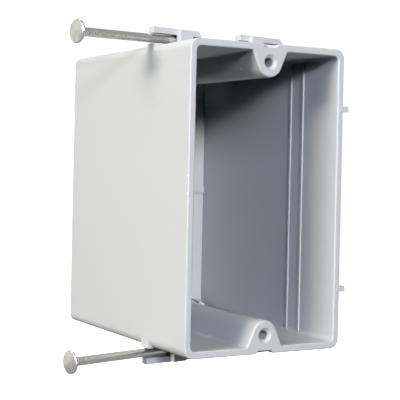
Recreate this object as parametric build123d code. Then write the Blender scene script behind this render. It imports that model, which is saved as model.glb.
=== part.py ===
"""Single-gang switch box of light grey plastic with two captive steel nails.

All lengths are in millimetres. The origin is the centre of the open front, midway
between the two device screws. +X points to the stud side, +Y points to the back of
the box and +Z points up, so the front rim lies in the plane y = 0.
"""
import os
from math import atan, cos, degrees, radians, sin, sqrt, tan

from build123d import *

# Shell: four leaning sides and a back, open at the front
box_width = 56.2
box_height = 94.6
box_depth = 84.8
wall = 2.2
back_wall = 3.6
side_draft = 0.8  # each side leans in this far between the rim and the back
corner_radius = 3.0
inner_corner_radius = 1.6
back_edge_radius = 2.0
rim_outer_radius = 0.4
rim_inner_radius = 0.5

# Device screws and the ridges that carry them
screw_spacing = 83.34
screw_hole_radius = 1.45
screw_hole_depth = 32.0
countersink_radius = 2.4
countersink_depth = 1.1
ridge_tip_radius = 4.3
ridge_tip_reach = 4.6  # from the screw's axis to the lowest line of the ridge
ridge_base_width = 14.7
ridge_length = 62.0
ridge_root_radius = 0.8

# Shallow channel outside, along each ridge
channel_width = 6.8
channel_floor_width = 4.7
channel_depth = 1.1

# Two upright ribs inside the stud side and one rib across the back
wire_rib_depths = (18.55, 25.25)
wire_rib_width = 0.9
wire_rib_height = 0.45
back_rib_width = 2.3
back_rib_height = 0.8
back_rib_level = 0.3

# Small square nibs on the stud side of the rim
nib_level = 28.5
nib_size = 1.75
nib_reach = 1.8
nib_depth = 1.5
nib_step = 0.25

# Cable flaps in the top and the bottom, close to the back
entry_width = 14.4
entry_length = 11.8
entry_side_gap = 0.35  # from the window to the inside of the side wall
flap_angle = 26.0
flap_thickness = 1.3
flap_length = 11.0
flap_recess = 0.3
flap_inner_slit = 0.8
flap_outer_slit = 1.9

# Nails
nail_diameter = 2.7
nail_length = 89.0
nail_yaw = 10.5  # the points lie further back than the heads
nail_droop = 0.56  # the heads hang a little in their holders
nail_setback = 25.5  # behind the rim, where the nail passes the side of the box
head_reach = 28.0
head_diameter = 7.2
head_rim = 1.0
head_dome = 0.5
head_bevel = 0.4
head_neck = 0.5
neck_diameter = 3.1
point_length = 4.2
point_flat = 0.3

# Holders: an arch over the nail with a long bar on top of it
nail_seat_gap = 0.25
nail_side_gap = 0.15
nail_cover_gap = 0.4
saddle_rise = 0.1
saddle_length = 6.0
saddle_depth = 4.7
bar_thickness = 1.85
bar_depth = 3.5
bar_length = 19.1
bar_inset = 0.5
bar_bevel = 1.2
stud_side_lift = 0.7
arch_width = 4.75
arch_front_depth = 2.9
arch_back_depth = 2.5
arch_offset_head_side = 9.0
arch_offset_stud_side = 10.9
arch_front_step = 0.4

# Sizes that follow from the ones above
half_width = box_width / 2
half_height = box_height / 2
inner_depth = box_depth - back_wall
nail_radius = nail_diameter / 2
screw_level = screw_spacing / 2
saddle_level = half_height + saddle_rise
nail_level = saddle_level + nail_seat_gap + nail_radius
cover_level = nail_level + nail_radius + nail_cover_gap
nail_half_depth = nail_radius / cos(radians(nail_yaw))
tunnel_depth = 2 * (nail_half_depth + nail_side_gap)


def lean_at(depth):
    """How far a side has leaned in at a depth behind the rim."""
    return side_draft * depth / box_depth


def at_depth(depth):
    """An upright plane, parallel to the rim, whose own axes are X and Z."""
    return Plane.XZ.offset(-depth)


def nail_depth_at(x):
    """Depth of the nail's axis behind the rim, at a place along the width."""
    return nail_setback + (x + half_width) * tan(radians(nail_yaw))


def tapered_block(inset, radius, depth):
    """A rounded block from the rim plane back, leaning in with the sides."""
    outline = RectangleRounded(box_width - 2 * inset, box_height - 2 * inset, radius)
    lean_angle = degrees(atan(side_draft / box_depth))
    return extrude(at_depth(0) * outline, depth, dir=(0, 1, 0), taper=lean_angle)


def rim_face(body):
    return body.faces().sort_by(Axis.Y)[0]


def mirrored_down(shape):
    """A shape and its mirror image below the middle of the box."""
    return [shape, mirror(shape, about=Plane.XY)]


def shell_outside():
    block = tapered_block(0, corner_radius, box_depth)
    block = fillet(block.faces().sort_by(Axis.Y)[-1].edges(), back_edge_radius)
    return fillet(rim_face(block).edges(), rim_outer_radius)


def ridge():
    """The upper ridge, which ends in a slope towards the back."""
    tip_level = screw_level - ridge_tip_reach
    tip = Pos(0, tip_level + ridge_tip_radius) * Circle(ridge_tip_radius)
    base = Line((-ridge_base_width / 2, half_height), (ridge_base_width / 2, half_height))
    profile = make_hull(tip.edges() + base.edges())
    bar = extrude(at_depth(0) * profile, -ridge_length)
    slope_start = ridge_length - (half_height - tip_level)
    side_view = Polygon(
        (0, tip_level),
        (slope_start, tip_level),
        (ridge_length, half_height),
        (0, half_height),
        align=None,
    )
    return bar & extrude(Plane.YZ * side_view, ridge_base_width, both=True)


def ridge_roots(space):
    """The edges along which the two ridges meet the top and the bottom."""
    lowest = half_height - wall - lean_at(ridge_length)
    roots = []
    for edge in space.edges():
        middle = edge.center()
        on_ridge = abs(middle.X) < ridge_base_width / 2 and middle.Y < ridge_length
        if on_ridge and abs(middle.Z) > lowest:
            roots.append(edge)
    return roots


def cavity():
    """The space inside the box: a tapered block less the two ridges."""
    space = tapered_block(wall, inner_corner_radius, inner_depth)
    for one_ridge in mirrored_down(ridge()):
        space -= one_ridge
    return fillet(ridge_roots(space), ridge_root_radius)


def channel():
    """The upper channel, cut along the outside of the top."""
    slope = (channel_width - channel_floor_width) / 2 / channel_depth
    mouth = channel_width / 2 + slope * channel_depth
    sections = []
    for depth in (0, box_depth):
        surface = half_height - lean_at(depth)
        outline = Polygon(
            (-channel_floor_width / 2, surface - channel_depth),
            (channel_floor_width / 2, surface - channel_depth),
            (mouth, surface + channel_depth),
            (-mouth, surface + channel_depth),
            align=None,
        )
        sections.append(at_depth(depth) * outline)
    return loft(sections)


def screw_hole():
    """The upper device screw's hole, with its countersink."""
    hole = Pos(0, screw_hole_depth / 2, screw_level) * Rot(-90, 0, 0)
    mouth = Pos(0, countersink_depth / 2, screw_level) * Rot(-90, 0, 0)
    sink = Cone(countersink_radius, screw_hole_radius, countersink_depth)
    return hole * Cylinder(screw_hole_radius, screw_hole_depth) + mouth * sink


def wire_rib(depth):
    """An upright rib on the inside of the stud side."""
    root = half_width - lean_at(depth) - wall / 2
    reach = wall / 2 + wire_rib_height
    height = 2 * (half_height - lean_at(depth)) - wall
    return Pos(root - reach / 2, depth, 0) * Box(reach, wire_rib_width, height)


def back_rib():
    """A level rib across the inside of the back."""
    width = 2 * (half_width - lean_at(inner_depth)) - wall
    reach = back_wall / 2 + back_rib_height
    middle = inner_depth - back_rib_height + reach / 2
    return Pos(0, middle, back_rib_level) * Box(width, reach, back_rib_width)


def nib():
    """The upper nib, which stands a little in front of the rim."""
    root = half_width - wall / 2
    reach = wall / 2 + nib_reach
    depth = nib_depth + nib_step
    return Pos(root + reach / 2, depth / 2 - nib_step, nib_level) * Box(reach, depth, nib_size)


def entry_right_edge():
    return half_width - lean_at(inner_depth) - wall - entry_side_gap


def entry_window():
    """The upper window at the stud side, cut through the top."""
    middle = entry_right_edge() - entry_width / 2
    front = inner_depth - entry_length
    level = half_height - wall / 2
    window = Box(entry_width, entry_length, 2 * wall)
    return Pos(middle, front + entry_length / 2, level) * window


def cable_flap():
    """The upper flap at the stud side: it slopes in from the front of its window."""
    front = inner_depth - entry_length
    surface = half_height - lean_at(front) - flap_recess
    run = flap_length * cos(radians(flap_angle))
    drop = flap_length * sin(radians(flap_angle))
    back_off = flap_thickness * sin(radians(flap_angle))
    thickness = flap_thickness * cos(radians(flap_angle))
    side_view = Polygon(
        (front - wall, surface),
        (front, surface),
        (front + run, surface - drop),
        (front + run - back_off, surface - drop - thickness),
        (front - wall, surface - wall / 2),
        align=None,
    )
    width = entry_width - flap_inner_slit - flap_outer_slit
    left = entry_right_edge() - flap_outer_slit - width
    return Pos(left, 0, 0) * extrude(Plane.YZ * side_view, width, dir=(1, 0, 0))


def in_four_corners(shape):
    """The upper stud-side shape and its three mirror images."""
    shapes = []
    for copy in mirrored_down(shape):
        shapes.append(copy)
        shapes.append(mirror(copy, about=Plane.YZ))
    return shapes


def block_along_nail(x_start, x_end, front, back, bottom, top):
    """A block that follows the nail: front and back are measured from its axis."""
    outline = Polygon(
        (x_start, nail_depth_at(x_start) + front),
        (x_end, nail_depth_at(x_end) + front),
        (x_end, nail_depth_at(x_end) + back),
        (x_start, nail_depth_at(x_start) + back),
        align=None,
    )
    return extrude(Plane.XY.offset(bottom) * outline, top - bottom)


def holder(bar_start, arch_start, lift):
    """An upper holder: bar, arch and the way through for the nail."""
    front = -tunnel_depth / 2
    back = tunnel_depth / 2
    root = half_height - wall
    bottom = cover_level + lift
    top = bottom + bar_thickness
    bar_end = bar_start + bar_length
    arch_end = arch_start + arch_width
    bar = block_along_nail(bar_start, bar_end, front, front + bar_depth, bottom, top)
    outer_back_edge = bar.faces().sort_by(Axis.Z)[-1].edges().sort_by(Axis.Y)[-1]
    bar = chamfer(outer_back_edge, bar_bevel)
    arch = block_along_nail(arch_start, arch_end, front, back + arch_back_depth, root, top)
    front_top = top - arch_front_step
    post = block_along_nail(arch_start, arch_end, front - arch_front_depth, front, root, front_top)
    way = block_along_nail(arch_start, arch_end, front, back, root, bottom)
    return bar + (arch - way) + post


def head_side_holder():
    start = bar_inset - half_width
    return holder(start, start + arch_offset_head_side, 0)


def stud_side_holder():
    end = half_width - bar_inset
    arch_start = end - arch_offset_stud_side - arch_width
    return holder(end - bar_length, arch_start, stud_side_lift)


def saddle():
    """The upper saddle, which fills the rounded corner under the nail."""
    left = lean_at(nail_setback) - half_width
    bottom = half_height - corner_radius
    height = saddle_level - bottom
    middle = left + saddle_length / 2
    return Pos(middle, nail_setback, bottom + height / 2) * Box(saddle_length, saddle_depth, height)


def box_body():
    body = shell_outside() - cavity()
    for cut in mirrored_down(channel()):
        body -= cut
    body = fillet(rim_face(body).inner_wires()[0].edges(), rim_inner_radius)
    for depth in wire_rib_depths:
        body += wire_rib(depth)
    body += back_rib()
    for cut in in_four_corners(entry_window()):
        body -= cut
    for flap in in_four_corners(cable_flap()):
        body += flap
    for hole in mirrored_down(screw_hole()):
        body -= hole
    for piece in (nib(), saddle(), head_side_holder(), stud_side_holder()):
        for copy in mirrored_down(piece):
            body += copy
    body.label = "box_body"
    return body


def nail_in_place(level):
    """A nail on its own axis, from its head on the left to its point."""
    radius = head_diameter / 2
    face = radius - head_bevel
    sphere = (face ** 2 + head_dome ** 2) / (2 * head_dome)
    halfway = sphere - head_dome - sqrt(sphere ** 2 - (face / 2) ** 2)
    dome = ThreePointArc((-head_dome, 0), (halfway, face / 2), (0, face))
    side = Polyline(
        (0, face),
        (head_bevel, radius),
        (head_rim, radius),
        (head_rim + head_neck, neck_diameter / 2),
        (head_rim + 2 * head_neck, nail_radius),
        (nail_length - point_length, nail_radius),
        (nail_length - point_length, 0),
        (-head_dome, 0),
    )
    blank = revolve(Plane.XZ * make_face(dome + side), Axis.X)
    point_base = Plane.YZ.offset(nail_length - point_length) * Rectangle(nail_diameter, nail_diameter)
    point_slope = degrees(atan((nail_radius - point_flat / 2) / point_length))
    point = extrude(point_base, point_length, taper=point_slope)
    rod = Pos(nail_length - point_length / 2, 0, 0) * Rot(0, 90, 0) * Cylinder(nail_radius, point_length)
    nail = blank + (point & rod)
    entry = Pos(-half_width, nail_setback, level)
    return entry * Rot(0, 0, nail_yaw) * Rot(0, -nail_droop, 0) * Pos(-head_reach, 0, 0) * nail


def main():
    os.makedirs("parts", exist_ok=True)
    pieces = {
        "box_body": box_body(),
        "upper_nail": nail_in_place(nail_level),
        "lower_nail": nail_in_place(-nail_level),
    }
    for name, piece in pieces.items():
        piece.label = name
        export_step(piece, f"parts/{name}.step")


main()
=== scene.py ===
# %% [markdown]
# # A nail-on switch box
#
# The box is one moulding of light grey plastic with two captive steel nails. Its exact
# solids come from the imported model, which this lesson loads as a fixed frame. The
# lesson then gives every surface its real finish, makes the nails again with the marks
# that a nail machine leaves, and sets up the camera, the floor and the lights.
#
# Everything is in metres. The origin is the centre of the open front, +X points to the
# stud side, +Y to the back of the box and +Z up.

from math import cos, pi, radians, sin

import bpy
from mathutils import Matrix, Vector


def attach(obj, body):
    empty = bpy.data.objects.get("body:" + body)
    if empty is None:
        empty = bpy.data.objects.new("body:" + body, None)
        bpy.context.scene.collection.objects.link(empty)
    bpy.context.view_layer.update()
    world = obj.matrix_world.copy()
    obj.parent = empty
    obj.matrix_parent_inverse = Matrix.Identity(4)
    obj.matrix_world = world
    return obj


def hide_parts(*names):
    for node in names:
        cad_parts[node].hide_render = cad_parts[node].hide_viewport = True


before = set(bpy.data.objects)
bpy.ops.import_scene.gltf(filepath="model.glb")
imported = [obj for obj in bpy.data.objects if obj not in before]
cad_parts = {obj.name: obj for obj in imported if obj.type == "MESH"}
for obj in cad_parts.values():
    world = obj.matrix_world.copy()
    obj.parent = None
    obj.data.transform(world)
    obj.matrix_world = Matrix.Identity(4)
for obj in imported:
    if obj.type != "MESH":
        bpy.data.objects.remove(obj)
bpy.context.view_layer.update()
MM = 0.001

# %% [markdown]
# ## The camera
#
# The photograph was taken from the front left, level with the middle of the box, and
# with a long lens, because the upright edges stay parallel. A camera was fitted to the
# straight edges of the photograph, with the standard spacing of the two screw holes as
# its scale. The fit gives the place, the three angles and the focal length in pixels.
# The picture's centre lies a little below the lens's axis, so the camera has a small
# shift, as an architect's camera has.

# %% Place the camera
IMAGE_SIDE = 400
FOCAL_PIXELS = 1137.5
LENS_AXIS = (201.2, 162.5)
CAMERA_PLACE = Vector((-193.82, -288.12, 11.2)) * MM
YAW, PITCH, ROLL = 0.53303, -0.0016, -0.02148
SENSOR = 36.0
NEAREST, FARTHEST = 0.01, 50.0

ahead = Vector((sin(YAW) * cos(PITCH), cos(YAW) * cos(PITCH), sin(PITCH)))
level = Vector((cos(YAW), -sin(YAW), 0))
below = ahead.cross(level)
right = level * cos(ROLL) + below * sin(ROLL)
up = level * sin(ROLL) - below * cos(ROLL)

lens = bpy.data.cameras.new("camera")
lens.sensor_width = SENSOR
lens.lens = FOCAL_PIXELS / IMAGE_SIDE * SENSOR
lens.shift_x = (IMAGE_SIDE / 2 - LENS_AXIS[0]) / IMAGE_SIDE
lens.shift_y = (LENS_AXIS[1] - IMAGE_SIDE / 2) / IMAGE_SIDE
lens.clip_start = NEAREST
lens.clip_end = FARTHEST

camera = bpy.data.objects.new("camera", lens)
camera.matrix_world = Matrix.Translation(CAMERA_PLACE) @ Matrix((right, up, -ahead)).transposed().to_4x4()
bpy.context.scene.collection.objects.link(camera)
bpy.context.scene.camera = camera

print("focal length in mm:", round(lens.lens, 1))

# %% [markdown]
# ## The floor
#
# The photograph shows the box on plain white. The floor here is a wide, pale plane well
# below the box. It glows a little, so it stays as white as paper. It takes no part in
# the box's own light, because the real ceiling of the box is dark: nothing pale lay in
# front of it. Nor does it stop the light that comes from below.

# %% Lay the floor
FLOOR_LEVEL = -0.25
FLOOR_SIDE = 40.0


def new_object(name, data):
    """An object at the origin, linked to the scene."""
    made = bpy.data.objects.new(name, data)
    bpy.context.scene.collection.objects.link(made)
    return made


def mesh_from(name, points, faces):
    mesh = bpy.data.meshes.new(name)
    mesh.from_pydata(points, [], faces)
    mesh.update()
    return mesh


def square_mesh(name, side, level=0.0):
    """A level square with its middle over the origin."""
    half = side / 2
    corners = [(x * half, y * half, level) for x, y in ((-1, -1), (1, -1), (1, 1), (-1, 1))]
    return mesh_from(name, corners, [(0, 1, 2, 3)])


floor = new_object("floor", square_mesh("floor", FLOOR_SIDE, FLOOR_LEVEL))
floor.visible_diffuse = False
floor.visible_glossy = False
floor.visible_shadow = False
print("floor at", FLOOR_LEVEL, "m")

# %% [markdown]
# ## Sums on sockets
#
# A material is a tree of nodes. Written with this small class, a sum of two sockets is
# an ordinary Python sum, and each operator adds the Math node that does it. The one
# method named add makes any other node: it takes the node's type, its settings and the
# values or links of its inputs.

# %% Sockets that add and multiply
OPAQUE = 1.0
# A Mix node's sockets by number, because its colours and its numbers share their names.
MIX_SHARE, MIX_FIRST, MIX_SECOND, MIX_COLOUR = 0, 6, 7, 2


class Socket:
    """An output socket that takes part in sums as a number does."""

    def __init__(self, tree, link):
        self.tree = tree
        self.link = link

    def maths(self, operation, *values):
        return self.tree.add("ShaderNodeMath", {"operation": operation}, values)

    def __add__(self, other):
        return self.maths("ADD", self, other)

    def __sub__(self, other):
        return self.maths("SUBTRACT", self, other)

    def __rsub__(self, other):
        return self.maths("SUBTRACT", other, self)

    def __mul__(self, other):
        return self.maths("MULTIPLY", self, other)

    def __truediv__(self, other):
        return self.maths("DIVIDE", self, other)

    def __rtruediv__(self, other):
        return self.maths("DIVIDE", other, self)

    def __pow__(self, other):
        return self.maths("POWER", self, other)

    def __abs__(self):
        return self.maths("ABSOLUTE", self)

    def __lt__(self, other):
        return self.maths("LESS_THAN", self, other)

    def __gt__(self, other):
        return self.maths("GREATER_THAN", self, other)

    __radd__ = __add__
    __rmul__ = __mul__

    def sine(self):
        return self.maths("SINE", self)

    def cosine(self):
        return self.maths("COSINE", self)

    def at_least(self, other):
        return self.maths("MAXIMUM", self, other)

    def at_most(self, other):
        return self.maths("MINIMUM", self, other)

    def also(self, name):
        """Another output of the node that this socket belongs to."""
        return Socket(self.tree, self.link.node.outputs[name])


class Tree:
    """A node tree and the one method that adds a node to it."""

    def __init__(self, nodes_and_links):
        self.data = nodes_and_links

    def add(self, kind, settings=None, inputs=(), output=0):
        node = self.data.nodes.new(kind)
        for name, value in (settings or {}).items():
            setattr(node, name, value)
        self.feed(node, inputs)
        return Socket(self, node.outputs[output]) if len(node.outputs) else node

    def feed(self, node, inputs):
        """Link sockets to a node's inputs, and set its other inputs to plain values."""
        named = inputs.items() if isinstance(inputs, dict) else enumerate(inputs)
        for name, value in named:
            if isinstance(value, Socket):
                self.data.links.new(value.link, node.inputs[name])
            else:
                node.inputs[name].default_value = value

    def blend(self, share, first, second):
        """A colour between two colours, as sockets or as red, green and blue."""
        colours = [value if isinstance(value, Socket) else (*value, OPAQUE) for value in (first, second)]
        return self.add(
            "ShaderNodeMix",
            {"data_type": "RGBA"},
            {MIX_SHARE: share, MIX_FIRST: colours[0], MIX_SECOND: colours[1]},
            output=MIX_COLOUR,
        )

    def step(self, value, low, high):
        """0 below low, 1 above high, and smooth in between."""
        return self.add(
            "ShaderNodeMapRange",
            {"interpolation_type": "SMOOTHSTEP"},
            {"Value": value, "From Min": low, "From Max": high},
        )

    def noise(self, place, scale, detail=2.0, roughness=0.5):
        return self.add(
            "ShaderNodeTexNoise",
            {},
            {"Vector": place, "Scale": scale, "Detail": detail, "Roughness": roughness},
        )


def new_material(name):
    """A material, the tree that its nodes are made in, and its shader."""
    material = bpy.data.materials.new(name)
    material.use_nodes = True
    return material, Tree(material.node_tree), material.node_tree.nodes["Principled BSDF"]


print("socket sums ready")

# %% [markdown]
# ## The grey plastic
#
# The box is moulded in one go from light grey PVC. Close up, such a moulding is not one
# flat colour: the pigment is a little cloudy, the flow leaves faint streaks from front
# to back, and the eroded steel of the mould leaves a fine grain. Handling adds hairline
# scratches and a few small scuffs. Each of these is a noise or a distance in the
# object's own coordinates, so it stays in place when the camera moves. The colour also
# holds painted light and shade: the front face of the rim is painted darker, and white
# and dark specks paint the light and the shadow in the slit of the lower cable flap.

# %% Where the handling marks are, and the painted light and shadow of the flap's slit
# Each scuff is its two ends (y, z) and its reach to either side, in mm. The first list
# lies outside on the head side, and the second inside on the stud side.
WALL_SCUFFS = [
    ((66.0, -19.0), (57.5, -29.0), 0.16),
    ((49.6, 6.6), (48.2, 2.6), 0.55),
    ((46.6, -22.6), (45.2, -23.4), 0.5),
    ((32.6, 22.0), (31.4, 21.4), 0.5),
    ((15.9, 10.1), (15.1, 9.4), 0.5),
    ((25.0, 41.4), (1.8, 39.3), 0.12),
    ((40.5, 30.5), (44.5, 29.0), 0.3),
    ((38.0, -36.5), (43.0, -37.2), 0.2),
]
STUD_SIDE_SCUFFS = [
    ((11.2, -35.0), (5.0, -33.6), 0.18),
    ((78.5, -28.5), (70.5, -36.0), 0.2),
    ((76.0, -24.0), (72.0, -29.5), 0.16),
]
# Each speck is a place (x, y, z) and a radius in mm: two nicks in the front edge of the
# head side, three specks on the upper ridge, and three white specks of painted light on
# the lower cable flap, where its slit lets the light through.
SPECKS_AND_SLIT_LIGHT = [
    ((-28.1, 0.3, 6.6), 0.42),
    ((-28.1, 0.3, 1.5), 0.38),
    ((-4.1, 10.3, 40.0), 0.36),
    ((-3.4, 8.7, 38.5), 0.36),
    ((-3.8, 9.7, 39.2), 0.2),
    ((21.7, 75.8, -41.6), 0.55),
    ((22.2, 75.4, -41.7), 0.6),
    ((22.6, 74.8, -42.0), 0.5),
]
# Dark specks of the same kind beside them paint the shadow in the flap's slit.
SLIT_SHADOW = [
    ((19.4, 78.6, -40.4), 0.7),
    ((20.0, 77.9, -40.7), 0.55),
    ((20.5, 77.1, -41.1), 0.7),
    ((20.9, 76.3, -41.4), 0.85),
]
print(len(WALL_SCUFFS) + len(STUD_SIDE_SCUFFS), "scuffs and", len(SPECKS_AND_SLIT_LIGHT), "specks")

# %% Masks for the scuffs, the specks and the scratches
# How far out a mark is still full, as a share of its width.
SCUFF_CORE = 0.4
SPECK_CORE = 0.5
# A scratch is where a noise, stretched along it, passes its middle.
NOISE_MIDDLE = 0.5
SCRATCH_STRETCH = 0.12
SCRATCH_EDGE = (0.0015, 0.005)
# Scratches lie in patches, from a wider noise.
PATCH_SHARE = 0.35
PATCH_EDGE = (0.56, 0.66)


def scuff_mask(tree, y, z, scuffs):
    """1 on the scuffs of one wall, from the distance to each scuff's line."""
    total = None
    for (y1, z1), (y2, z2), width in scuffs:
        length_squared = (y2 - y1) ** 2 + (z2 - z1) ** 2
        along = ((y / MM - y1) * (y2 - y1) + (z / MM - z1) * (z2 - z1)) / length_squared
        along = along.at_least(0.0).at_most(1.0)
        off_y = y / MM - y1 - along * (y2 - y1)
        off_z = z / MM - z1 - along * (z2 - z1)
        distance = (off_y * off_y + off_z * off_z) ** 0.5
        mark = 1 - tree.step(distance, width * SCUFF_CORE, width)
        total = mark if total is None else total.at_least(mark)
    return total


def speck_mask(tree, place, specks):
    """1 inside each small speck, from the distance to its centre."""
    total = None
    for centre, radius in specks:
        middle = tuple(value * MM for value in centre)
        apart = {"operation": "DISTANCE"}
        distance = tree.add("ShaderNodeVectorMath", apart, [place, middle], output="Value")
        speck = 1 - tree.step(distance, radius * SPECK_CORE * MM, radius * MM)
        total = speck if total is None else total.at_least(speck)
    return total


def hairlines(tree, place, scale, turn):
    """Thin wandering scratches that run from front to back."""
    stretch = (1.0, SCRATCH_STRETCH, 1.0)
    turned = tree.add("ShaderNodeMapping", {}, {"Vector": place, "Rotation": turn, "Scale": stretch})
    wander = tree.noise(turned, scale, detail=1.0)
    line = 1 - tree.step(abs(wander - NOISE_MIDDLE), *SCRATCH_EDGE)
    where = tree.noise(place, scale * PATCH_SHARE, detail=1.0)
    return line * tree.step(where, *PATCH_EDGE)


print("masks ready")

# %% Plastic colour, gloss and grain
PLASTIC_SHADE = (0.355, 0.355, 0.355)
PLASTIC_TINT = (0.485, 0.485, 0.485)
# White for the specks and for the painted light in the slit of the lower cable flap; black for the
# painted shadow beside it.
SPECK_AND_SLIT_LIGHT_WHITE = (0.82, 0.82, 0.82)
SLIT_SHADOW_BLACK = (0.02, 0.02, 0.02)
PLASTIC_ROUGHNESS = 0.5
PLASTIC_IOR = 1.5
# Where each kind of mark lies: outside the head side and inside the stud side, and the
# painted shade on the front face of the rim.
HEAD_SIDE_X = -27.0 * MM
STUD_SIDE_X = (24.0 * MM, 26.2 * MM)
RIM_EDGE = (0.1 * MM, 0.5 * MM)
# Noise scales, in waves a metre.
CLOUD_SCALE, FLOW_SCALE, RUB_SCALE, GRAIN_SCALE, PEEL_SCALE = 22.0, 95.0, 1900.0, 2600.0, 420.0
FLOW_STRETCH = 0.08
RUB_EDGE = (0.36, 0.56)
# Each set of scratches has its own scale, and a turn in radians that moves it elsewhere.
SCRATCH_SETS = [(60.0, (0.3, 0.9, 0.4)), (48.0, (1.2, 0.2, 1.1))]
# How much each of them moves the tone, the roughness and, in mm, the surface.
MIDDLE_TONE = 0.5
CLOUD_TONE, FLOW_TONE, SCUFF_TONE, SCRATCH_TONE, RIM_SHADE_TONE = 0.16, 0.12, 0.24, 0.06, 0.42
CLOUD_ROUGH, SCUFF_ROUGH, SCRATCH_ROUGH = 0.10, 0.2, 0.12
GRAIN_HIGH, PEEL_HIGH, FLOW_HIGH, SCRATCH_DEEP, SCUFF_DEEP = 0.006, 0.012, 0.03, 0.01, 0.012


def all_scuffs(tree, place, x, y, z):
    """The scuffs of both walls, broken up as rubbed marks are."""
    head_side = x < HEAD_SIDE_X
    stud_side = (x > STUD_SIDE_X[0]) * (x < STUD_SIDE_X[1])
    scuffs = scuff_mask(tree, y, z, WALL_SCUFFS) * head_side
    scuffs = scuffs + scuff_mask(tree, y, z, STUD_SIDE_SCUFFS) * stud_side
    rubbed = tree.noise(place, RUB_SCALE, detail=1.0)
    return scuffs * tree.step(rubbed, *RUB_EDGE)


def make_plastic():
    material, tree, shader = new_material("grey_plastic")
    place = tree.add("ShaderNodeTexCoord", output="Object")
    x = tree.add("ShaderNodeSeparateXYZ", {}, [place], output="X")
    y, z = x.also("Y"), x.also("Z")

    cloud = tree.noise(place, CLOUD_SCALE, detail=3.0)
    stretched = tree.add("ShaderNodeMapping", {}, {"Vector": place, "Scale": (1.0, FLOW_STRETCH, 1.0)})
    flow = tree.noise(stretched, FLOW_SCALE, detail=2.0)
    scuffs = all_scuffs(tree, place, x, y, z)
    first, second = (hairlines(tree, place, *settings) for settings in SCRATCH_SETS)
    scratches = first + second
    # Painted shade: the front face of the rim is made darker, as less light falls on it than on the side
    # walls.
    rim = 1 - tree.step(y, *RIM_EDGE)

    tone = (
        (cloud - NOISE_MIDDLE) * CLOUD_TONE
        + (flow - NOISE_MIDDLE) * FLOW_TONE
        + scuffs * SCUFF_TONE
        + scratches * SCRATCH_TONE
        - rim * RIM_SHADE_TONE
        + MIDDLE_TONE
    )
    moulded = tree.blend(tone, PLASTIC_SHADE, PLASTIC_TINT)
    # White specks paint the light through the slit of the lower cable flap, and dark ones paint its
    # shadow.
    specked_and_slit_lit = tree.blend(speck_mask(tree, place, SPECKS_AND_SLIT_LIGHT), moulded, SPECK_AND_SLIT_LIGHT_WHITE)
    toned = tree.blend(speck_mask(tree, place, SLIT_SHADOW), specked_and_slit_lit, SLIT_SHADOW_BLACK)
    rough = (
        (cloud - NOISE_MIDDLE) * CLOUD_ROUGH
        + scuffs * SCUFF_ROUGH
        + scratches * SCRATCH_ROUGH
        + PLASTIC_ROUGHNESS
    )

    grain = tree.noise(place, GRAIN_SCALE, detail=2.0)
    peel = tree.noise(place, PEEL_SCALE, detail=1.0)
    raised = grain * GRAIN_HIGH + peel * PEEL_HIGH + flow * FLOW_HIGH
    height = raised - scratches * SCRATCH_DEEP - scuffs * SCUFF_DEEP
    bump = tree.add("ShaderNodeBump", {}, {"Height": height, "Distance": MM, "Strength": 1.0})

    tree.feed(shader, {"Base Color": toned, "Roughness": rough, "Normal": bump, "IOR": PLASTIC_IOR})
    return material


plastic = make_plastic()
box_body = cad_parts["box_body"]
box_body.data.materials.clear()
box_body.data.materials.append(plastic)
print("plastic nodes:", len(plastic.node_tree.nodes))

# %% [markdown]
# ## The nail steel
#
# The nails are bright drawn wire, not polished: lines run along the shank from the
# drawing die, the colour is patchy where the lubricant stayed, and the head is a little
# duller in its middle, where the heading tool struck it. The pattern has to follow the
# nail and not the box, so the material reads an attribute that holds each point's place
# on the nail before it was put in its holder.

# %% Steel colour and drawing lines
STEEL_LIGHT = (0.60, 0.585, 0.565)
STEEL_DULL = (0.40, 0.38, 0.365)
STEEL_ROUGHNESS = 0.26
NAIL_PLACE = "nail_place"
# Noise scales, in waves a metre.
LINE_SCALE, PATCH_SCALE, SPOT_SCALE = 3200.0, 330.0, 1500.0
LINE_STRETCH = 0.03
# The face of the head ends at this depth, and the tool's mark fades between two radii.
FACE_DEPTH = 0.15 * MM
STRUCK_RADII = (0.6 * MM, 2.6 * MM)
DULL_EDGE = (0.45, 0.72)
SPOT_EDGE = (0.62, 0.72)
# How much each of them moves the dullness, the roughness and, in mm, the surface.
PATCH_DULL, SPOT_DULL, STRUCK_DULL, LINE_DULL = 0.6, 0.25, 0.2, 1.3
DULL_ROUGH, LINE_ROUGH = 0.16, 0.08
LINE_HIGH, SPOT_HIGH, PATCH_HIGH = 0.012, 0.0015, 0.008


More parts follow.
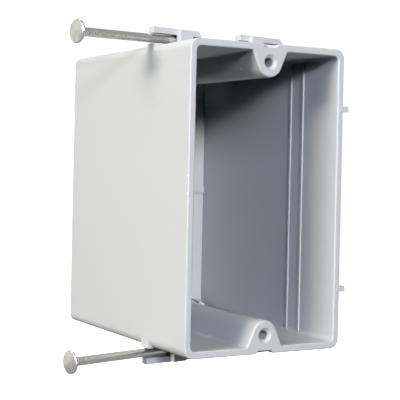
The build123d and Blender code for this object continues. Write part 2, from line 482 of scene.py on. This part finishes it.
def make_steel():
    material, tree, shader = new_material("nail_steel")
    place = tree.add("ShaderNodeAttribute", {"attribute_name": NAIL_PLACE}, output="Vector")
    x = tree.add("ShaderNodeSeparateXYZ", {}, [place], output="X")
    around = (x.also("Y") * x.also("Y") + x.also("Z") * x.also("Z")) ** 0.5

    drawn = tree.add("ShaderNodeMapping", {}, {"Vector": place, "Scale": (LINE_STRETCH, 1.0, 1.0)})
    lines = tree.noise(drawn, LINE_SCALE, detail=2.0)
    patches = tree.noise(place, PATCH_SCALE, detail=3.0, roughness=0.6)
    spots = tree.noise(place, SPOT_SCALE, detail=2.0)
    on_face = x < FACE_DEPTH
    struck = on_face * (1 - tree.step(around, *STRUCK_RADII))

    spotted = tree.step(spots, *SPOT_EDGE) * (1 - on_face)
    dull = tree.step(patches, *DULL_EDGE) * PATCH_DULL + spotted * SPOT_DULL + struck * STRUCK_DULL
    dull = (dull + (lines - NOISE_MIDDLE) * LINE_DULL).at_most(1.0)
    colour = tree.blend(dull.at_least(0.0), STEEL_LIGHT, STEEL_DULL)
    rough = dull * DULL_ROUGH + (lines - NOISE_MIDDLE) * LINE_ROUGH + STEEL_ROUGHNESS
    height = (lines * LINE_HIGH + spots * SPOT_HIGH) * (1 - on_face) + patches * PATCH_HIGH
    bump = tree.add("ShaderNodeBump", {}, {"Height": height, "Distance": MM, "Strength": 1.0})

    tree.feed(shader, {"Base Color": colour, "Roughness": rough, "Normal": bump, "Metallic": 1.0})
    return material


steel = make_steel()
print("steel nodes:", len(steel.node_tree.nodes))

# %% [markdown]
# ## The nails
#
# A nail follows one rule from its head to its point, so Geometry Nodes can make it from
# a plain grid: one side of the grid runs along the nail and the other runs round it. At
# every grid point the rule gives a place along the axis and a distance from it. The
# stages are the domed face, the rounded edge, the fillet under the head, the grip marks
# that the machine's jaws press into two sides of the shank, the plain shank and the
# four-sided point. The grip marks repeat, so their number and spacing are inputs too.

# %% Sizes and a tree with named inputs
# The nail's sizes in mm, apart from the number of its grip marks.
NAIL_SIZES = {
    "Length": 89.0,
    "Shank Radius": 1.35,
    "Head Radius": 3.6,
    "Head Rim": 1.0,
    "Dome": 0.38,
    "Neck": 0.5,
    "Neck Radius": 1.55,
    "Point Length": 4.2,
    "Point Flat": 0.15,
    "Grip Length": 9.0,
    "Grip Count": 8.0,
    "Grip Depth": 0.07,
}


def new_group(name, sizes):
    """A geometry tree with one number input for each named size, and a material."""
    group = bpy.data.node_groups.new(name, "GeometryNodeTree")
    for size in sizes:
        group.interface.new_socket(size, in_out="INPUT", socket_type="NodeSocketFloat")
    group.interface.new_socket("Finish", in_out="INPUT", socket_type="NodeSocketMaterial")
    group.interface.new_socket("Geometry", in_out="OUTPUT", socket_type="NodeSocketGeometry")
    tree = Tree(group)
    first = tree.add("NodeGroupInput")
    return group, tree, {size: first.also(size) for size in [*sizes, "Finish"]}


print("nail sizes:", len(NAIL_SIZES))

# %% How far along the nail a ring lies
RINGS = 330
# The ring at which each stage ends.
STAGE_ENDS = {"face": 26, "edge": 44, "fillet": 62, "grip": 262, "shank": 300, "point": 326, "cap": RINGS}


def nail_stages(tree, ring):
    """Each stage as a number: 0 before the stage, 1 after it and even in between."""
    stages, start = {}, 0
    for name, end in STAGE_ENDS.items():
        limits = {"Value": ring, "From Min": start, "From Max": end}
        stages[name] = tree.add("ShaderNodeMapRange", {}, limits)
        start = end
    return stages


def distance_along(size, at):
    """The place of a ring on the nail's axis, in mm from the rim of its face."""
    head_run = size["Head Rim"] + size["Neck"]
    shank_run = size["Length"] - head_run - size["Grip Length"] - size["Point Length"]
    return (
        size["Dome"] * (at["face"] * at["face"] - 1)
        + size["Head Rim"] / 2 * (1 - (at["edge"] * pi).cosine())
        + size["Neck"] * (1 - (at["fillet"] * (pi / 2)).cosine())
        + size["Grip Length"] * at["grip"]
        + shank_run * at["shank"]
        + size["Point Length"] * at["point"]
    )


print("stages:", *STAGE_ENDS)

# %% How far out from its axis the nail reaches
# The grip marks fade in and out along their stretch, and round the shank.
GRIPS_START, GRIPS_STOP, GRIP_SIDES = (0.06, 0.12), (0.9, 0.96), (0.62, 0.92)
NECK_FADE = (0.0, 0.1)
POINT_START = (0.0, 0.01)
# Wider than any part of the nail, in mm: the point's own rule waits beyond it.
FAR_OUT = 10.0


def grip_depth(tree, size, grip, angle):
    """How deep the machine's jaws pressed into two sides of the shank."""
    count = grip * (size["Grip Count"] + 1)
    one_grip = count.maths("FRACT", count)
    tooth = one_grip.maths("PINGPONG", one_grip, 0.5) * 2
    in_grips = tree.step(grip, *GRIPS_START) * (1 - tree.step(grip, *GRIPS_STOP))
    two_sides = tree.step(abs(angle.cosine()), *GRIP_SIDES)
    return size["Grip Depth"] * tooth * in_grips * two_sides


def distance_out(tree, size, at, angle):
    """The radius at one point of a ring: round at first, and square on the nail's point."""
    round_edge = size["Head Rim"] / 2
    flat = size["Head Radius"] - round_edge
    full = (
        flat * at["face"]
        + round_edge * (at["edge"] * pi).sine()
        + (size["Neck Radius"] - flat) * (at["fillet"] * (pi / 2)).sine()
        + (size["Shank Radius"] - size["Neck Radius"]) * tree.step(at["grip"], *NECK_FADE)
        - grip_depth(tree, size, at["grip"], angle)
    )
    corner = abs(angle.cosine()).at_least(abs(angle.sine()))
    half_width = size["Shank Radius"] + (size["Point Flat"] - size["Shank Radius"]) * at["point"]
    waiting = (1 - tree.step(at["point"], *POINT_START)) * FAR_OUT
    return full.at_most(half_width / corner + waiting) * (1 - at["cap"])


print("number of grip marks:", round(NAIL_SIZES["Grip Count"]))

# %% The rule that makes a nail
SIDES = 72
# The head's edge is a little uneven.
DENT_SCALE, DENT_SHARE = 5.0, 0.006
WELD_DISTANCE = 0.000002


def make_nail_group():
    group, tree, size = new_group("nail", NAIL_SIZES)
    counts = {"Vertices X": RINGS + 1, "Vertices Y": SIDES + 1}
    grid = tree.add("GeometryNodeMeshGrid", {}, {"Size X": 1.0, "Size Y": 1.0, **counts})
    place = tree.add("GeometryNodeInputPosition")
    u = tree.add("ShaderNodeSeparateXYZ", {}, [place], output="X")
    ring = (u + 0.5) * RINGS
    angle = (u.also("Y") + 0.5) * (2 * pi)
    at = nail_stages(tree, ring)
    along = distance_along(size, at)

    dents = tree.noise(place, DENT_SCALE, detail=2.0) - NOISE_MIDDLE
    on_head = 1 - tree.step(ring, STAGE_ENDS["edge"], STAGE_ENDS["fillet"])
    smooth = distance_out(tree, size, at, angle)
    distance = smooth * (1 - on_head * dents.at_least(0.0) * DENT_SHARE)

    sideways = distance * angle.cosine() * MM
    upwards = distance * angle.sine() * MM
    centred = tree.add("ShaderNodeCombineXYZ", {}, [along * MM, sideways, upwards])
    placed = tree.add("GeometryNodeSetPosition", {}, {"Geometry": grid, "Position": centred})
    closed = tree.add("GeometryNodeMergeByDistance", {}, {"Geometry": placed, "Distance": WELD_DISTANCE})
    kept = tree.add(
        "GeometryNodeStoreNamedAttribute",
        {"data_type": "FLOAT_VECTOR"},
        {"Geometry": closed, "Name": NAIL_PLACE, "Value": tree.add("GeometryNodeInputPosition")},
    )
    real = tree.add("GeometryNodeRealizeInstances", {}, [kept])
    finished = tree.add("GeometryNodeSetMaterial", {}, {"Geometry": real, "Material": size["Finish"]})
    tree.add("NodeGroupOutput", {}, [finished])
    return group


nail_group = make_nail_group()
print("nail rule:", len(nail_group.nodes), "nodes")

# %% [markdown]
# ### Put the nails in their holders
#
# Each nail is made on its own axis, turned into a plain mesh and only then moved to its
# holder, as the solid of the same name stands. The nail leans back by its yaw and its
# head hangs a little, because the holders have some play.

# %% Make both nails
NAIL_ENTRY = Vector((-28.1, 25.5, 49.0)) * MM
NAIL_YAW = radians(10.5)
NAIL_DROOP = radians(0.56)
HEAD_REACH = 28.0 * MM
SMOOTH_LIMIT = radians(34)


def make_nail(name, side):
    """A nail in place. side is 1 for the top of the box and -1 for the bottom."""
    maker = new_object(name, bpy.data.meshes.new(name))
    modifier = maker.modifiers.new("nail", "NODES")
    modifier.node_group = nail_group
    for item in nail_group.interface.items_tree:
        if item.in_out == "INPUT":
            modifier[item.identifier] = steel if item.name == "Finish" else NAIL_SIZES[item.name]
    bpy.context.view_layer.update()
    evaluated = maker.evaluated_get(bpy.context.evaluated_depsgraph_get())
    mesh = bpy.data.meshes.new_from_object(evaluated)
    maker.modifiers.remove(modifier)
    mesh.name = name
    maker.data = mesh
    entry = Vector((NAIL_ENTRY.x, NAIL_ENTRY.y, NAIL_ENTRY.z * side))
    mesh.transform(
        Matrix.Translation(entry)
        @ Matrix.Rotation(NAIL_YAW, 4, "Z")
        @ Matrix.Rotation(-NAIL_DROOP, 4, "Y")
        @ Matrix.Translation((-HEAD_REACH, 0, 0))
    )
    mesh.shade_smooth()
    mesh.set_sharp_from_angle(angle=SMOOTH_LIMIT)
    return maker


for side, node in ((1, "upper_nail"), (-1, "lower_nail")):
    nail = make_nail(node + "_steel", side)
    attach(nail, node)
    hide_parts(node)
    print(nail.name, "triangles:", 2 * len(nail.data.polygons))

# %% [markdown]
# ## Light
#
# The left wall is almost white, and the upper nail's head throws a soft shadow onto it,
# which is blurred more from side to side than up and down. So the main light stands to
# the left, about seventeen degrees above the level, and it is wide and low: two round
# lights do its work, and two weaker ones fill in round them. Inside, the top wall throws
# a much sharper shadow, which falls from the front edge back and down at about fifteen
# degrees, so the lights in front are smaller. The tint of the inner wall changes a
# little from its front to its back, so those lights differ in colour: bluer on the left
# and warmer on the right. The far lights stand below, on the right and behind, so that
# the other sides can be looked at too. The steel doesn't mirror them.
#
# A light's heading is counted from straight in front of the box, and negative to the
# left, and its height is the angle above the level.

# %% Hang the lights
BROAD, MIDDLING, NARROW, SMALL = 0.8, 0.36, 0.24, 0.12
LIGHTS = [
    # name, heading and height in degrees, width in metres, power in watts, colour
    ("left middle", -77, 17.5, NARROW, 7.9, (1.0, 0.96, 0.88)),
    ("left middle too", -86, 17.5, NARROW, 7.5, (1.0, 0.96, 0.88)),
    ("left upper", -80, 32, MIDDLING, 4.6, (1.0, 1.0, 0.97)),
    ("left front", -68, 23, MIDDLING, 4.6, (0.96, 1.0, 0.96)),
    ("front", -20, 15.5, NARROW, 7.6, (0.774, 0.822, 1.0)),
    ("front middle", -13, 16.5, SMALL, 8.6, (0.9, 0.86, 0.95)),
    ("front left", -27, 14, NARROW, 2.4, (0.6, 0.76, 1.0)),
    ("front left upper", -27, 23, MIDDLING, 3.0, (0.5, 0.78, 1.0)),
    ("front right", 1, 16, SMALL, 4.4, (1.0, 0.88, 0.6)),
    ("front above", 5, 60, MIDDLING, 1.2, (0.6, 0.9, 1.0)),
    ("above", -175, 62, MIDDLING, 4.5, (1.0, 1.0, 1.0)),
]
FAR_LIGHTS = [
    ("table", 25, -58, MIDDLING, 3.2, (0.92, 0.98, 1.0)),
    ("right", 110, 25, BROAD, 8.0, (1.0, 1.0, 1.0)),
    ("back", 170, 30, BROAD, 8.0, (1.0, 1.0, 1.0)),
]
LIGHT_DISTANCE = 1.3
BOX_MIDDLE = Vector((0.0, 42.0, 0.0)) * MM


def facing_box(heading, height):
    """A place round the box, with the Z axis away from the middle of the box."""
    turn, lift = radians(heading), radians(height)
    aim = Vector((sin(turn) * cos(lift), -cos(turn) * cos(lift), sin(lift)))
    place = Matrix.Translation(BOX_MIDDLE + aim * LIGHT_DISTANCE)
    return place @ aim.to_track_quat("Z", "Y").to_matrix().to_4x4()


def hang_light(name, heading, height, width, power, colour):
    """A round area light that faces the middle of the box."""
    data = bpy.data.lights.new(name, "AREA")
    data.shape = "DISK"
    data.size = width
    data.energy = power
    data.color = colour
    light = bpy.data.objects.new(name, data)
    light.matrix_world = facing_box(heading, height)
    bpy.context.scene.collection.objects.link(light)
    return light


for settings in LIGHTS:
    print("light:", hang_light(*settings).name)
for settings in FAR_LIGHTS:
    light = hang_light(*settings)
    light.visible_glossy = False
    print("far light:", light.name)

# %% [markdown]
# ### Cards for the steel
#
# Steel shows little of its own: it shows what stands round it. The outlines of the nails
# are dark, because they mirror what stands behind the box, and the faces of the heads
# are pale, because they mirror something bright on the left. A photographer stands a
# black and a white card there. Here only reflections see the cards, so they neither
# light the plastic nor shade it.

# %% Stand two cards that only reflections show
CARDS = [
    # name, heading and height in degrees, side in metres, glow
    ("dark_card", 165, 4, 1.4, 0.0),
    ("pale_card", -139, 6, 1.1, 1.08),
]
CARD_BLACK = (0.0, 0.0, 0.0, OPAQUE)
CARD_WHITE = (1.0, 0.99, 0.97, OPAQUE)


def stand_card(name, heading, height, side, glow):
    """A square card that faces the box. Its base is black, so only its glow is mirrored."""
    card = new_object(name, square_mesh(name, side))
    card.matrix_world = facing_box(heading, height)
    card.visible_camera = False
    card.visible_diffuse = False
    card.visible_shadow = False
    material, tree, shader = new_material(name)
    tree.feed(shader, {"Base Color": CARD_BLACK, "Specular IOR Level": 0.0})
    tree.feed(shader, {"Emission Color": CARD_WHITE, "Emission Strength": glow})
    card.data.materials.append(material)
    return card


for settings in CARDS:
    print("card:", stand_card(*settings).name)

# %% [markdown]
# ### A flag for the cable openings
#
# The cable openings in the top let the left lights into the box, and they would wash out
# the dark corner under the upper ridge. A flag is what a photographer calls a black
# board that keeps a light off one place. This one stands beside the box, above its left
# wall, so the wall itself stays in the light.

# %% Keep the left lights out of the upper cable openings
# Its place and its edges are in mm.
FLAG_X = -40.0
FLAG_FRONT, FLAG_REAR = 50.0, 104.0
FLAG_LOW, FLAG_HIGH = 52.0, 110.0

sides = [(FLAG_FRONT, FLAG_LOW), (FLAG_FRONT, FLAG_HIGH), (FLAG_REAR, FLAG_HIGH), (FLAG_REAR, FLAG_LOW)]
corners = [(FLAG_X * MM, y * MM, z * MM) for y, z in sides]
flag = new_object("flag", mesh_from("flag", corners, [(0, 1, 2, 3)]))
flag.visible_camera = False
flag.visible_diffuse = False
flag.visible_glossy = False
print("flag from", FLAG_LOW, "to", FLAG_HIGH, "mm")

# %% [markdown]
# ### White surroundings that give no light
#
# The camera sees plain white round the box, and the steel mirrors a softer grey. As a
# source of light the surroundings are black, because the shadows in the box are deep:
# all its light comes from the lights above. A Light Path node tells these three apart.

# %% Floor paint and the white surroundings
PAINT = (0.9, 0.9, 0.9, OPAQUE)
PAINT_ROUGHNESS = 0.9
PAINT_GLOW = 1.0
WHITE = (1.0, 1.0, 1.0, OPAQUE)
SEEN_STRENGTH, MIRRORED_STRENGTH, LIT_STRENGTH = 1.05, 0.66, 0.0


def make_floor_paint():
    material, tree, shader = new_material("floor_paint")
    tree.feed(shader, {"Base Color": PAINT, "Roughness": PAINT_ROUGHNESS})
    tree.feed(shader, {"Emission Color": WHITE, "Emission Strength": PAINT_GLOW})
    return material


floor.data.materials.append(make_floor_paint())


def make_surroundings():
    """White to the camera, grey in reflections and black as a source of light."""
    world = bpy.data.worlds.new("surroundings")
    world.use_nodes = True
    tree = Tree(world.node_tree)
    world.node_tree.nodes.clear()
    black = tree.add("ShaderNodeBackground", {}, {"Strength": LIT_STRENGTH})
    grey = tree.add("ShaderNodeBackground", {}, {"Strength": MIRRORED_STRENGTH})
    white = tree.add("ShaderNodeBackground", {}, {"Color": WHITE, "Strength": SEEN_STRENGTH})
    seen = tree.add("ShaderNodeLightPath", output="Is Camera Ray")
    unseen = tree.add("ShaderNodeMixShader", {}, [seen.also("Is Glossy Ray"), black, grey])
    both = tree.add("ShaderNodeMixShader", {}, [seen, unseen, white])
    tree.add("ShaderNodeOutputWorld", {}, [both])
    return world


bpy.context.scene.world = make_surroundings()
print("surroundings:", bpy.context.scene.world.name)

# %% [markdown]
# ### Develop the picture
#
# The photograph was developed with its darkest greys pressed down to black, a little
# more in red than in green. The view's curves have a black level that does the same.

# %% Press the darkest greys down
BLACK_LEVEL = (0.0255, 0.0235, 0.024)
view = bpy.context.scene.view_settings
view.view_transform = "Standard"
view.look = "None"
view.use_curve_mapping = True
view.curve_mapping.black_level = BLACK_LEVEL
view.curve_mapping.update()
print("view:", view.view_transform)
